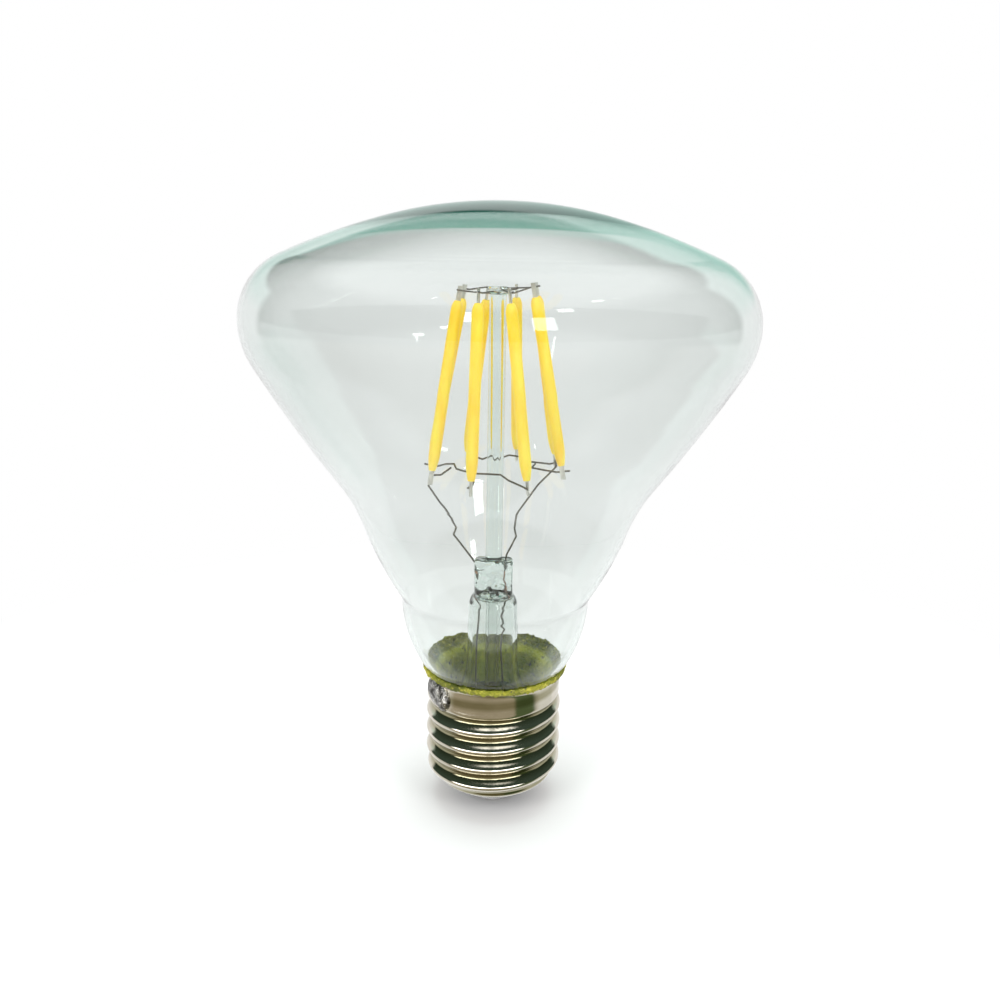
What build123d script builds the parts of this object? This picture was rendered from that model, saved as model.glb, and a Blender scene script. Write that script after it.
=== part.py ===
from build123d import *
import math
import os

# Filament bulb with a reflector-shaped clear glass and a screw cap.
# Millimetres. The origin is on the axis, at the flat of the centre contact, and +Z runs to the dome.
# Angles about the axis are in degrees from the front (-Y), growing towards the right side (+X).

# Screw cap
thread_crest_diameter = 26.2
thread_depth = 0.95
threads_per_inch = 7
thread_phase_height = 14.9
thread_fade = 2.0
thread_foot_rise = 2.6
thread_foot_fade = 2.0
skirt_diameter = 25.7
skirt_length = 5.8
rim_height = 26.3
rim_flare = 0.45
rim_flare_length = 0.9
shell_wall = 0.3
lip_height = 4.2
taper_rise = 4.4
taper_depth = 4.47
taper_cut = 0.946
sections_per_turn = 10

# Centre contact and insulator
contact_radius = 4.4
contact_flat_radius = 3.2
contact_rise = 0.9
contact_wall = 0.4
contact_flat_inset = 0.1
contact_knee_out = 0.72
contact_knee_up = 0.32
dimple_radius = 1.7
dimple_depth = 0.45
dimple_slope = 0.15
eyelet_bore_radius = 0.8
eyelet_height = 2.4
insulator_seat_depth = 0.25
insulator_seat_inset = 0.15
insulator_step = 0.5
insulator_belly_radius = 8.0
insulator_belly_height = 3.0
insulator_lip_ledge = 1.1
insulator_rise = 1.6
recess_floor = 2.7
recess_floor_radius = 6.5
recess_mouth_radius = 8.2

# Glass envelope, outside surface, with heights that build up from the shell's rim
glass_wall = 0.9
max_diameter = 95.0
crease_rise = 15.0
bend_rise = 19.1
widest_rise = 34.4
crown_rise = 21.5
crown_radius = 78.0
crown_reach = 21.0
flank_radius = 125.0
lower_rim_radius = 15.7
lower_rim_angle = 30.0
bend_radial = 26.9
bend_fillet = 6.0
cone_bow = 0.54
crease_overhang = 5.25
crease_fillet = 2.2
bulge_bow = 0.79
neck_arc_radius = 24.0
neck_clearance = 0.55
neck_fillet = 1.5

# Stem, with heights that build up from the seal, which clears the driver's tallest part
seal_clearance = 0.7
stem_shift = -0.4
tube_top_radius = 4.65
tube_low_radius = 5.05
tube_low_rise = 10.5
shoulder_rise = 24.9
shoulder_drop = 2.4
shoulder_arc_out = 0.8
shoulder_arc_drop = 0.3
shoulder_glass = 1.1
shoulder_inner_round = 1.2
flare_glass = 0.9
seal_lip = 1.1
seal_lip_slant = 0.85
press_width = 7.4
press_thickness = 3.6
press_rise = 6.6
press_root = 1.0
press_round = 1.1
press_top_round = 0.66
exhaust_radius = 1.45
exhaust_bore_radius = 0.85
exhaust_drop = 3.8
exhaust_tip = 2.4
exhaust_taper_out = 0.55
exhaust_taper_up = 0.2
rod_radius = 1.6
rod_head_radius = 2.05
rod_head_gap = 1.1
rod_head_height = 1.8
rod_head_round = 0.63

# Filaments, in order round the stem from the front left
filament_count = 8
filament_first_angle = -67.5
foot_turn = 3.5
crown_turn = -5.0
foot_ring_radius = 13.0
crown_ring_radius = 7.7
foot_rise = 18.6
filament_rise = 31.4
filament_lifts = [-0.2, -0.4, -0.3, 0.8, 0.8, 0.2, -0.4, 0.0]
coat_diameter = 2.2
coat_tip_radius = 0.62
coat_low_taper = 3.8
coat_top_taper = 1.8
strip_width = 0.9
strip_thickness = 0.25
foot_tab = 2.7
crown_tab = 3.1

# Wires
wire_diameter = 0.36
wire_bend = 0.3
weld_gap = 0.02
link_bend = 0.5
link_overrun = 0.7
link_inner_run = 1.0
link_head_run = 0.9
link_step = 0.38
link_tab_share = 0.7
dumet_diameter = 0.45
dumet_depth = 2.9
dumet_tail = 2.1
dumet_cover = 1.2
left_entry = 3.2
right_entry = 2.24
right_entry_depth = 0.6
lead_diameter = 0.5
outer_lead_bend = 0.4
outer_lead_gap = 1.6
lead_tail = 0.6

# Solder and cement
cement_foot_rise = 0.5
cement_rise = 1.1
cement_overhang = 0.5
cement_edge_rise = 0.4
cement_edge_swell = 0.25
cement_seat = 0.05
solder_angle = -56.0
solder_drop = 2.3
solder_width = 6.6
solder_tall = 5.4
solder_proud = 0.95
solder_run_turn = 9.0
solder_run_drop = 0.9
notch_width = 1.2
notch_depth = 1.5
notch_reach = 4.0

# Wire to the shell
channel_gap = 0.05
channel_step = 0.7
channel_low = 2.0
channel_high = 4.0
channel_top_drop = 3.9
notch_wire_inset = 0.5
notch_wire_drop = 1.6
notch_wire_proud = 0.35
notch_wire_end = 0.95

# Driver, with each part's place on the board
board_clearance = 0.25
board_gap = 3.0
board_thickness = 1.0
part_stand_off = 0.3
resistor_place = (5.0, -2.6)
resistor_gap = 0.5
resistor_radius = 1.1
resistor_length = 3.8
resistor_round = 0.3
resistor_lead_seat = 0.1
live_wire_drop = 0.8
live_wire_top = 0.7
live_wire_end = 0.3
capacitor_place = (-6.2, 3.0)
capacitor_diameter = 5.0
capacitor_height = 5.4
capacitor_round = 0.35
groove_height = 1.0
groove_offset = 0.15
capacitor_leg_step = 2.0
bridge_place = (0.6, 5.2)
bridge_size = (4.7, 3.9, 2.0)
chip_place = (-1.2, -5.6)
chip_size = (4.9, 3.9, 1.4)
chip_edge = 0.15
leg_width = 0.4
leg_length = 0.9
leg_reach = 0.35

# Solder in the eyelet
eyelet_solder_rise = 0.08
eyelet_solder_bulge = 0.14
eyelet_solder_top = 0.5
eyelet_solder_slant = 0.2
eyelet_solder_share = 0.95

thread_pitch = 25.4 / threads_per_inch
thread_swing = thread_depth / 2
thread_mean_radius = thread_crest_diameter / 2 - thread_swing
thread_top = rim_height - skirt_length
thread_foot = lip_height + thread_foot_rise
bore_radius = thread_mean_radius - thread_swing - shell_wall
taper_top = lip_height + taper_rise
insulator_top = lip_height + insulator_rise
board_low = insulator_top + board_gap
board_top = board_low + board_thickness
seal_height = board_top + capacitor_height + seal_clearance + seal_lip
crease_height = rim_height + crease_rise
bend_height = crease_height + bend_rise
widest_height = bend_height + widest_rise
overall_height = widest_height + crown_rise
crease_radial = skirt_diameter / 2 + crease_overhang
neck_tube_radius = min(bore_radius, skirt_diameter / 2 - shell_wall) - neck_clearance
tube_low_height = seal_height + tube_low_rise
shoulder_height = seal_height + shoulder_rise
roof_height = shoulder_height - shoulder_glass
press_top = shoulder_height + press_rise
exhaust_tip_height = seal_height - exhaust_drop
foot_height = press_top + foot_rise
crown_height = foot_height + filament_rise
rod_head_low = crown_height + rod_head_gap
rod_head_top = rod_head_low + rod_head_height
dumet_top = press_top - dumet_depth
dumet_foot = shoulder_height - dumet_tail
wire_radius = wire_diameter / 2
lead_radius = lead_diameter / 2
weld_offset = strip_thickness / 2 + wire_radius + weld_gap
board_radius = bore_radius - board_clearance
cement_top = rim_height + cement_rise


def at(radial, height):
    """A point of an outline, in the plane that holds the axis."""
    return Vector(radial, 0, height)


def polar(angle, radial, height):
    """A point at an angle round the axis."""
    turn = math.radians(angle)
    return Vector(radial * math.sin(turn), -radial * math.cos(turn), height)


def arc_about(centre, radius, start, end):
    """An arc about a centre of an outline, from one angle to another above the radial direction."""
    spots = []
    for share in (0, 0.5, 1):
        turn = math.radians(start + (end - start) * share)
        spots.append(centre + at(radius * math.cos(turn), radius * math.sin(turn)))
    return ThreePointArc(*spots)


def bowed(start, end, bow):
    """An arc between two points that bows out from the axis."""
    along = (end - start).normalized()
    outward = Vector(along.Z, 0, -along.X)
    return ThreePointArc(start, (start + end) * 0.5 + outward * bow, end)


def turned(lines):
    """A body of revolution from the lines of its half outline."""
    edges = [edge for line in lines for edge in line.edges()]
    return revolve(make_face(Wire(edges)), axis=Axis.Z)


def outline_polygon(*spots):
    """A body of revolution with straight sides."""
    return revolve(make_face(Polyline(*[at(*spot) for spot in spots], close=True)), axis=Axis.Z)


def wire_along(points, diameter, bend):
    """A round wire along straight runs with rounded corners."""
    path = FilletPolyline(*points, radius=bend)
    section = Plane(origin=path @ 0, z_dir=path % 0) * Circle(diameter / 2)
    return sweep(section, path=path)


def rod_between(start, end, diameter):
    """A straight round wire."""
    line = Line(start, end)
    section = Plane(origin=start, z_dir=line % 0) * Circle(diameter / 2)
    return extrude(section, amount=line.length)


def standing(radius, height, low):
    """An upright cylinder on the axis."""
    return Pos(0, 0, low) * Cylinder(radius, height, align=(Align.CENTER, Align.CENTER, Align.MIN))


def save(shape, name):
    """Write one node."""
    shape.label = name
    export_step(shape, "parts/" + name + ".step")


# Screw shell
def shell_radius(height):
    """Mean radius of the shell's outside at a height."""
    if height < taper_top:
        share = (taper_top - height) / taper_rise * taper_cut
        return thread_mean_radius - taper_depth * (1 - math.sqrt(1 - share * share))
    skirt = skirt_diameter / 2
    if height < thread_top:
        return thread_mean_radius
    if height < thread_top + thread_fade:
        share = (height - thread_top) / thread_fade
        return thread_mean_radius + (skirt - thread_mean_radius) * (1 - math.cos(math.pi * share)) / 2
    flare_start = rim_height - rim_flare_length
    if height > flare_start:
        return skirt + rim_flare * ((height - flare_start) / rim_flare_length) ** 2
    return skirt


def thread_reach(height):
    """How far the section's centre stands off the axis, which makes the thread's crest and root."""
    if height > thread_top:
        share = min(1, (height - thread_top) / thread_fade)
    else:
        share = min(1, max(0, (thread_foot - height) / thread_foot_fade))
    return thread_swing * (1 + math.cos(math.pi * share)) / 2


def shell_body(inset):
    """The shell's volume, or its inside at a wall's distance."""
    span = rim_height - lip_height
    steps = round(span / thread_pitch * sections_per_turn)
    rings = []
    for step in range(steps + 1):
        height = lip_height + span * step / steps
        above = shell_radius(min(rim_height, height + 0.01))
        below = shell_radius(max(lip_height, height - 0.01))
        slope = (above - below) / 0.02
        radius = shell_radius(height) - inset * math.sqrt(1 + slope * slope)
        crest_angle = 360 * (height - thread_phase_height) / thread_pitch
        centre = polar(crest_angle, thread_reach(height), height)
        rings.append(Wire.make_circle(radius, Plane(centre)))
    return Solid.make_loft(rings)


def notch_cutter():
    """The gap in the rim that the shell wire comes out of."""
    block = Box(notch_reach, notch_width, notch_depth * 2)
    return Rot(0, 0, solder_angle - 90) * Pos(skirt_diameter / 2, 0, rim_height) * block


shell_outside = shell_body(0)
shell_inside = shell_body(shell_wall)
screw_shell = shell_outside - shell_inside - notch_cutter()


# Centre contact, a pressed dish with an eyelet
def rounded_side(low_radius, low_height, high_radius, high_height):
    """The dish's rounded side, steeper towards its edge."""
    low = at(low_radius, low_height)
    high = at(high_radius, high_height)
    knee = low + at((high.X - low.X) * contact_knee_out, (high.Z - low.Z) * contact_knee_up)
    return ThreePointArc(low, knee, high)


def contact_dish():
    inner_flat = contact_flat_radius - contact_flat_inset
    inner_edge = contact_radius - contact_wall
    outer_bend = rounded_side(contact_flat_radius, 0, contact_radius, contact_rise)
    inner_bend = rounded_side(inner_flat, contact_wall, inner_edge, contact_rise)
    edge = Line(at(contact_radius, contact_rise), at(inner_edge, contact_rise))
    dimple_top = dimple_depth + contact_wall
    dimple_outside = dimple_radius + contact_wall
    eyelet_outside = eyelet_bore_radius + contact_wall
    inside = Polyline(
        at(inner_flat, contact_wall),
        at(dimple_outside + dimple_slope, contact_wall),
        at(dimple_outside, dimple_top),
        at(eyelet_outside, dimple_top),
        at(eyelet_outside, eyelet_height),
        at(eyelet_bore_radius, eyelet_height),
        at(eyelet_bore_radius, dimple_depth),
        at(dimple_radius, dimple_depth),
        at(dimple_radius + dimple_slope, 0),
        at(contact_flat_radius, 0),
    )
    return turned([outer_bend, edge, inner_bend, inside])


centre_contact = contact_dish()


# Glass insulator, moulded into the shell round the contact
def insulator_body():
    lip_inside = shell_radius(lip_height) - insulator_lip_ledge
    seat = contact_rise - insulator_seat_depth
    below = outline_polygon(
        (0, seat),
        (contact_radius - insulator_seat_inset, seat),
        (contact_radius, contact_rise),
        (contact_radius + insulator_step, contact_rise),
        (insulator_belly_radius, insulator_belly_height),
        (lip_inside, lip_height),
        (0, lip_height),
    )
    inside = standing(thread_crest_diameter / 2, insulator_rise, lip_height)
    recess = Pos(0, 0, recess_floor) * Cone(
        recess_floor_radius, recess_mouth_radius, insulator_top - recess_floor,
        align=(Align.CENTER, Align.CENTER, Align.MIN),
    )
    bore = standing(eyelet_bore_radius, insulator_top, 0)
    return below + (inside & shell_inside) - recess - bore - centre_contact


cap_insulator = insulator_body()


# Glass envelope
def envelope_outline(inset):
    """The right side's outline from below the neck's end up to the crown, drawn in by an inset."""
    below_seal = seal_height - seal_lip
    widest = max_diameter / 2
    crown = crown_radius - inset
    flank = flank_radius - inset
    crown_centre = at(0, overall_height - crown_radius)
    lean = math.asin(crown_reach / crown_radius)
    flank_centre = crown_centre + at(math.sin(lean), math.cos(lean)) * (crown_radius - flank_radius)
    reach = widest - flank_centre.X
    rise = widest_height - flank_centre.Z
    shoulder = (flank_radius**2 - reach**2 - rise**2) / (2 * (flank_radius - reach))
    shoulder_centre = at(widest - shoulder, widest_height)
    to_shoulder = shoulder_centre - flank_centre
    flank_end = math.degrees(math.atan2(to_shoulder.Z, to_shoulder.X))
    crown_start = 90 - math.degrees(lean)
    lower_centre = at(widest - lower_rim_radius, widest_height)
    lower_rim = arc_about(lower_centre, lower_rim_radius - inset, -lower_rim_angle, 0)
    neck_centre = at(crease_radial - neck_arc_radius, crease_height)
    neck_arc = neck_arc_radius - inset
    neck_turn = math.degrees(math.acos((neck_tube_radius - inset - neck_centre.X) / neck_arc))
    neck = arc_about(neck_centre, neck_arc, -neck_turn, 0)
    bend = at(bend_radial - inset / math.cos(math.radians(lower_rim_angle)), bend_height)
    return [
        Line(at(neck_tube_radius - inset, below_seal), neck @ 0),
        neck,
        bowed(neck @ 1, bend, bulge_bow),
        bowed(bend, lower_rim @ 0, cone_bow),
        lower_rim,
        arc_about(shoulder_centre, shoulder - inset, 0, flank_end),
        arc_about(flank_centre, flank, flank_end, crown_start),
        arc_about(crown_centre, crown, crown_start, 90),
    ]


def envelope_body(inset):
    """The glass's volume, or its inside at a wall's distance, with its hollow corners rounded."""
    right = envelope_outline(inset)
    top = right[-1] @ 1
    low = right[0] @ 0
    axis_side = Polyline(top, at(0, low.Z), low)
    face = make_face(Wire([edge for line in right + [axis_side] for edge in line.edges()]))
    corners = [
        (right[1] @ 0, neck_fillet + inset),
        (right[2] @ 0, crease_fillet + inset),
        (right[3] @ 0, bend_fillet + inset),
    ]
    for spot, radius in corners:
        corner = min(face.vertices(), key=lambda vertex: (Vector(*vertex) - spot).length)
        face = fillet(corner, radius)
    return revolve(face, axis=Axis.Z)


glass_outside = envelope_body(0)
above_seal = Pos(0, 0, seal_height) * Box(
    2 * max_diameter, 2 * max_diameter, 2 * overall_height, align=(Align.CENTER, Align.CENTER, Align.MIN)
)
envelope = (glass_outside - envelope_body(glass_wall)) & above_seal


# Stem: flared tube with its press, exhaust tube and rod
def flare_tube():
    side_top = shoulder_height - shoulder_drop
    outer_top = ThreePointArc(
        at(0, shoulder_height),
        at(tube_top_radius * shoulder_arc_out, shoulder_height - shoulder_drop * shoulder_arc_drop),
        at(tube_top_radius, side_top),
    )
    tube_side = Line(at(tube_top_radius, side_top), at(tube_low_radius, tube_low_height))
    seal_outside = neck_tube_radius - abs(stem_shift)
    seal_inside = seal_outside - glass_wall
    lip_low = seal_height - seal_lip
    skirt = TangentArc(
        at(tube_low_radius, tube_low_height), at(seal_inside, seal_height), tangent=tube_side % 1
    )
    inner_low = tube_low_radius - flare_glass
    inner_top = tube_top_radius - flare_glass
    inner_side = Line(at(inner_top, side_top), at(inner_low, tube_low_height))
    inner_skirt = TangentArc(
        at(inner_low, tube_low_height), at(seal_inside - seal_lip_slant, lip_low), tangent=inner_side % 1
    )
    lip = Polyline(
        at(seal_inside, seal_height),
        at(seal_outside, seal_height),
        at(seal_outside, lip_low),
        at(seal_inside - seal_lip_slant, lip_low),
    )
    round_start = inner_top - shoulder_inner_round
    round_middle = shoulder_inner_round * (1 - math.sqrt(0.5))
    inner_top_edges = [
        Line(at(0, shoulder_height), at(0, roof_height)),
        Line(at(0, roof_height), at(round_start, roof_height)),
        ThreePointArc(
            at(round_start, roof_height),
            at(inner_top - round_middle, roof_height - round_middle),
            at(inner_top, side_top),
        ),
    ]
    return turned([outer_top, tube_side, skirt, lip, inner_skirt, inner_side] + inner_top_edges)


def press_block():
    low = shoulder_height - press_root
    block = Pos(0, 0, (low + press_top) / 2) * Box(press_width, press_thickness, press_top - low)
    block = fillet(block.edges().filter_by(Axis.Z), press_round)
    return fillet(block.edges().group_by(Axis.Z)[-1], press_top_round)


def exhaust_tube():
    wall = exhaust_radius - exhaust_bore_radius
    return outline_polygon(
        (exhaust_bore_radius, roof_height),
        (exhaust_radius, roof_height),
        (exhaust_radius, exhaust_tip_height + exhaust_tip),
        (exhaust_radius * exhaust_taper_out, exhaust_tip_height + exhaust_tip * exhaust_taper_up),
        (0, exhaust_tip_height),
        (0, exhaust_tip_height + 2 * wall),
        (exhaust_bore_radius, exhaust_tip_height + exhaust_tip + wall),
    )


def stem_rod():
    middle = (rod_head_low + rod_head_top) / 2
    head = standing(rod_head_radius, rod_head_height, rod_head_low)
    head = fillet(head.edges().filter_by(GeomType.CIRCLE), rod_head_round)
    return standing(rod_radius, middle - press_top, press_top) + head


# Filaments
def filament_plane(index):
    """A filament's own frame: Z up along it from the coat's lower end, X out from the stem."""
    angle = filament_first_angle + 360 / filament_count * index
    lift = filament_lifts[index]
    foot = polar(angle + foot_turn, foot_ring_radius, foot_height + lift)
    crown = polar(angle + crown_turn, crown_ring_radius, crown_height + lift)
    return Plane(origin=foot, x_dir=polar(angle, 1, 0), z_dir=crown - foot)


def coat_length():
    inward = foot_ring_radius - crown_ring_radius
    chord = 2 * foot_ring_radius * math.sin(math.radians(foot_turn - crown_turn) / 2)
    return math.hypot(crown_height - foot_height, math.hypot(inward, chord * 0.8))


def filament_strip():
    span = coat_length() + foot_tab + crown_tab
    return Pos(0, 0, span / 2 - foot_tab) * Box(strip_width, strip_thickness, span)


def filament_coat():
    length = coat_length()
    radius = coat_diameter / 2
    low_taper = TangentArc(at(radius, coat_low_taper), at(coat_tip_radius, 0), tangent=(0, 0, -1))
    top_start = at(radius, length - coat_top_taper)
    top_taper = TangentArc(top_start, at(coat_tip_radius, length), tangent=(0, 0, 1))
    side = Line(at(radius, coat_low_taper), top_start)
    ends = Polyline(at(coat_tip_radius, 0), at(0, 0), at(0, length), at(coat_tip_radius, length))
    return turned([low_taper, side, top_taper, ends]) - filament_strip()


planes = [filament_plane(index) for index in range(filament_count)]
stem_place = Pos(stem_shift, 0, 0)


def beside(index, outward, side, along):
    """A point by a filament's strip: outward from the stem, to one side of its flat, and up along it."""
    return planes[index].from_local_coords(Vector(outward, side * weld_offset, along))


# Wires that join the filaments' upper tabs, each through the rod's head to the one opposite
def top_link(pair):
    near = pair
    far = pair + filament_count // 2
    level = coat_length() + crown_tab * link_tab_share
    middle = (rod_head_low + rod_head_top) / 2 + link_step * (pair - 1.5)
    near_out = beside(near, link_overrun, 1, level)
    near_in = beside(near, -link_inner_run, 1, level)
    far_in = beside(far, -link_inner_run, -1, level)
    far_out = beside(far, link_overrun, -1, level)
    reach = rod_head_radius + link_head_run
    near_head = Vector(near_in.X, near_in.Y, 0).normalized() * reach + Vector(0, 0, middle)
    far_head = Vector(far_in.X, far_in.Y, 0).normalized() * reach + Vector(0, 0, middle)
    return wire_along([near_out, near_in, near_head, far_head, far_in, far_out], wire_diameter, link_bend)


# Wires that join the lower tabs. Inset is how far a corner lies inside the ring of the lower ends.
def foot_corner(angle, inset, lift):
    return polar(angle, foot_ring_radius - inset, foot_height + lift)


def front_wire():
    points = [
        beside(7, 1.3, 1, -1.7),
        beside(7, -1.3, 1, -1.5),
        foot_corner(-97, 3.4, -0.6),
        foot_corner(-82, 5.1, 0.0),
        foot_corner(-66, 5.0, -0.4),
        foot_corner(-42, 4.3, 0.0),
        foot_corner(-20, 3.4, 0.2),
        foot_corner(6, 3.4, 0.2),
        foot_corner(13, 2.3, -0.6),
        beside(2, -1.0, -1, -1.2),
        beside(2, 0.7, -1, -1.5),
    ]
    return wire_along(points, wire_diameter, wire_bend)


def front_stub():
    points = [
        foot_corner(-21, 2.95, 0.1),
        beside(1, -1.5, -1, -0.7),
        beside(1, 0.6, -1, -1.2),
    ]
    return wire_along(points, wire_diameter, wire_bend)


def back_wire():
    points = [
        beside(4, 0.8, 1, -2.1),
        beside(4, -1.2, 1, -2.0),
        foot_corner(136, 3.4, -1.2),
        planes[5].from_local_coords(Vector(-0.7, -1.5, -1.4)),
        planes[5].from_local_coords(Vector(-0.7, 1.3, -1.4)),
        foot_corner(178, 4.0, -1.3),
        foot_corner(-172, 3.9, -0.8),
        foot_corner(-163, 4.0, -1.3),
        foot_corner(-157, 2.4, -1.0),
        beside(6, -0.8, -1, -1.2),
        beside(6, 0.7, -1, -1.4),
    ]
    return wire_along(points, wire_diameter, wire_bend)


def side_wire():
    points = [
        beside(3, 1.4, 1, -1.2),
        beside(3, -1.2, 1, -1.3),
        foot_corner(79, 3.0, -0.8),
        foot_corner(95, 6.0, -0.9),
        foot_corner(113, 4.6, -0.8),
    ]
    return wire_along(points, wire_diameter, wire_bend)


def left_lead():
    points = [
        foot_corner(-71, 4.2, -0.3),
        beside(0, -2.0, -1, -0.7),
        beside(0, 0.1, -1, -1.0),
        beside(0, 0.15, -1, -2.9),
        foot_corner(-67.5, 1.8, -6.5),
        foot_corner(-69.6, 4.4, -9.7),
        foot_corner(-71.5, 5.4, -11.6),
        foot_corner(-74, 5.0, -13.1),
        foot_corner(-83, 8.8, -18.5),
        Vector(-left_entry, 0, dumet_top + dumet_cover),
        Vector(-left_entry, 0, dumet_top),
    ]
    return wire_along(points, wire_diameter, wire_bend)


def right_lead():
    points = [
        beside(4, -0.1, -1, -1.3),
        beside(4, -0.15, -1, -2.6),
        foot_corner(118, 3.4, -5.2),
        foot_corner(120.5, 8.1, -10.7),
        foot_corner(115, 8.7, -12.7),
        foot_corner(109, 8.5, -14.4),
        foot_corner(99, 10.5, -17.9),
        Vector(right_entry, 0, press_top - right_entry_depth),
        Vector(right_entry, 0, dumet_top),
    ]
    return wire_along(points, wire_diameter, wire_bend)


def dumet(side, entry):
    foot = Vector(side * entry, 0, dumet_foot)
    return rod_between(foot, Vector(side * entry, 0, dumet_top), dumet_diameter)


def outer_lead(side, entry, waves):
    """A lead down through the flared tube to the driver board, with the small bends it was left with."""
    start = side * entry
    points = [Vector(start, 0, dumet_foot)]
    points += [Vector(start + sideways, forward, dumet_foot - drop) for sideways, forward, drop in waves]
    points.append(Vector(side * (exhaust_radius + outer_lead_gap) - stem_shift, 0, board_low - lead_tail))
    return wire_along(points, wire_diameter, outer_lead_bend)


# Bends of the outer leads: sideways, forward, and down from the seal wire's foot
left_waves = [(0.5, -0.1, 1.5), (0.45, -0.2, 3.4), (0.1, -0.3, 8.5), (0.0, -0.2, 15.8)]
right_waves = [
    (0.0, -0.9, 1.0),
    (-0.7, -1.9, 2.4),
    (-0.1, -2.0, 3.9),
    (-0.5, -2.0, 5.8),
    (-0.7, -2.1, 8.8),
    (-0.2, -2.1, 15.8),
]


# Basing cement between the neck and the shell, squeezed out over the rim
def cement_ring():
    foot = seal_height + cement_foot_rise
    skirt_edge = skirt_diameter / 2 + rim_flare
    cement_edge = skirt_edge + cement_overhang
    blank = standing(skirt_diameter, rim_height - foot, foot)
    overflow = outline_polygon(
        (0, rim_height),
        (skirt_edge - cement_seat, rim_height),
        (cement_edge, rim_height + cement_edge_rise),
        (cement_edge + cement_edge_swell, cement_top),
        (0, cement_top),
    )
    return (blank & shell_inside) + overflow - glass_outside


# Wire from the board's edge up the neck and out through the rim's notch
def shell_wire():
    channel = neck_tube_radius + wire_radius + channel_gap
    skirt = skirt_diameter / 2
    points = [
        polar(solder_angle, channel - channel_step, board_low - lead_tail),
        polar(solder_angle, channel - channel_step, board_top + channel_low),
        polar(solder_angle, channel, board_top + channel_high),
        polar(solder_angle, channel, rim_height - channel_top_drop),
        polar(solder_angle, skirt - notch_wire_inset, rim_height - notch_wire_drop),
        polar(solder_angle, skirt + notch_wire_proud, rim_height - notch_wire_end),
    ]
    return wire_along(points, wire_diameter, wire_bend)


# Solder on the skirt, a lump with a run below it
def side_solder():
    def lump(angle, height, wide, tall, proud):
        ball = scale(Sphere(1), by=(proud, wide / 2, tall / 2))
        return Rot(0, 0, angle - 90) * Pos(skirt_diameter / 2, 0, height) * ball
    height = rim_height - solder_drop
    blob = lump(solder_angle, height, solder_width, solder_tall, solder_proud)
    run_angle = solder_angle + solder_run_turn
    run_height = height - solder_run_drop
    blob += lump(run_angle, run_height, solder_width * 0.5, solder_tall * 0.8, solder_proud * 1.1)
    trim = standing(skirt_diameter, solder_tall, rim_height)
    return blob - shell_outside - trim


# Driver
def chip_body(size, legs_per_side, spot):
    """A moulded chip under the board with its legs up to it."""
    length, width, thick = size
    leg_height = part_stand_off + thick / 2
    body = chamfer(Box(length, width, thick).edges(), chip_edge)
    chip = Pos(0, 0, board_low - part_stand_off - thick / 2) * body
    for leg in range(legs_per_side):
        along = (leg + 0.5) * length / legs_per_side - length / 2
        for side in (-1, 1):
            foot = Box(leg_width, leg_length, leg_height)
            chip += Pos(along, side * (width / 2 + leg_reach), board_low - leg_height / 2) * foot
    return Pos(*spot, 0) * chip


def capacitor_can():
    radius = capacitor_diameter / 2
    can = standing(radius, capacitor_height, board_top)
    can = fillet(can.edges().filter_by(GeomType.CIRCLE), capacitor_round)
    groove = Pos(0, 0, board_top + groove_height) * Torus(radius + groove_offset, capacitor_round)
    can = can - groove
    legs_low = board_low - lead_tail
    for side in (-1, 1):
        leg = standing(lead_radius, board_top + capacitor_round - legs_low, legs_low)
        can += Pos(side * capacitor_leg_step / 2, 0, 0) * leg
    return Pos(*capacitor_place, 0) * can


def fuse_resistor():
    top = board_low - resistor_gap
    body = fillet(standing(resistor_radius, resistor_length, top - resistor_length).edges(), resistor_round)
    lead_low = top - resistor_lead_seat
    lead = standing(lead_radius, board_top + lead_tail - lead_low, lead_low)
    return Pos(*resistor_place, 0) * (body + lead)


def live_wire():
    low = board_low - resistor_gap - resistor_length
    points = [
        Vector(*resistor_place, low),
        Vector(*resistor_place, low - live_wire_drop),
        Vector(0, 0, eyelet_height + live_wire_top),
        Vector(0, 0, dimple_depth + live_wire_end),
    ]
    return wire_along(points, lead_diameter, wire_bend)


def contact_solder():
    edge = dimple_radius * eyelet_solder_share
    top = eyelet_height - eyelet_solder_top
    dome = ThreePointArc(
        at(0, eyelet_solder_rise), at(edge * 0.63, eyelet_solder_bulge), at(edge, dimple_depth)
    )
    rest = Polyline(
        at(edge, dimple_depth),
        at(eyelet_bore_radius, dimple_depth),
        at(eyelet_bore_radius, top - eyelet_solder_slant),
        at(0, top),
        at(0, eyelet_solder_rise),
    )
    return turned([dome, rest])


rod = stem_rod()
links = [top_link(pair) for pair in range(filament_count // 2)]
for link in links:
    rod -= link
leads = [left_lead(), right_lead()]
dumets = [dumet(-1, left_entry), dumet(1, right_entry)]
flare = flare_tube() + press_block()
for piece in leads + dumets:
    flare -= piece
outers = [outer_lead(-1, left_entry, left_waves), outer_lead(1, right_entry, right_waves)]
cement = cement_ring()
rim_wire = shell_wire()
cement -= rim_wire
solder = side_solder() - rim_wire
resistor = fuse_resistor()
capacitor = capacitor_can()
live = live_wire()
board = standing(board_radius, board_thickness, board_low)
for piece in [stem_place * outers[0], stem_place * outers[1], resistor, capacitor, rim_wire]:
    board -= piece

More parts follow.
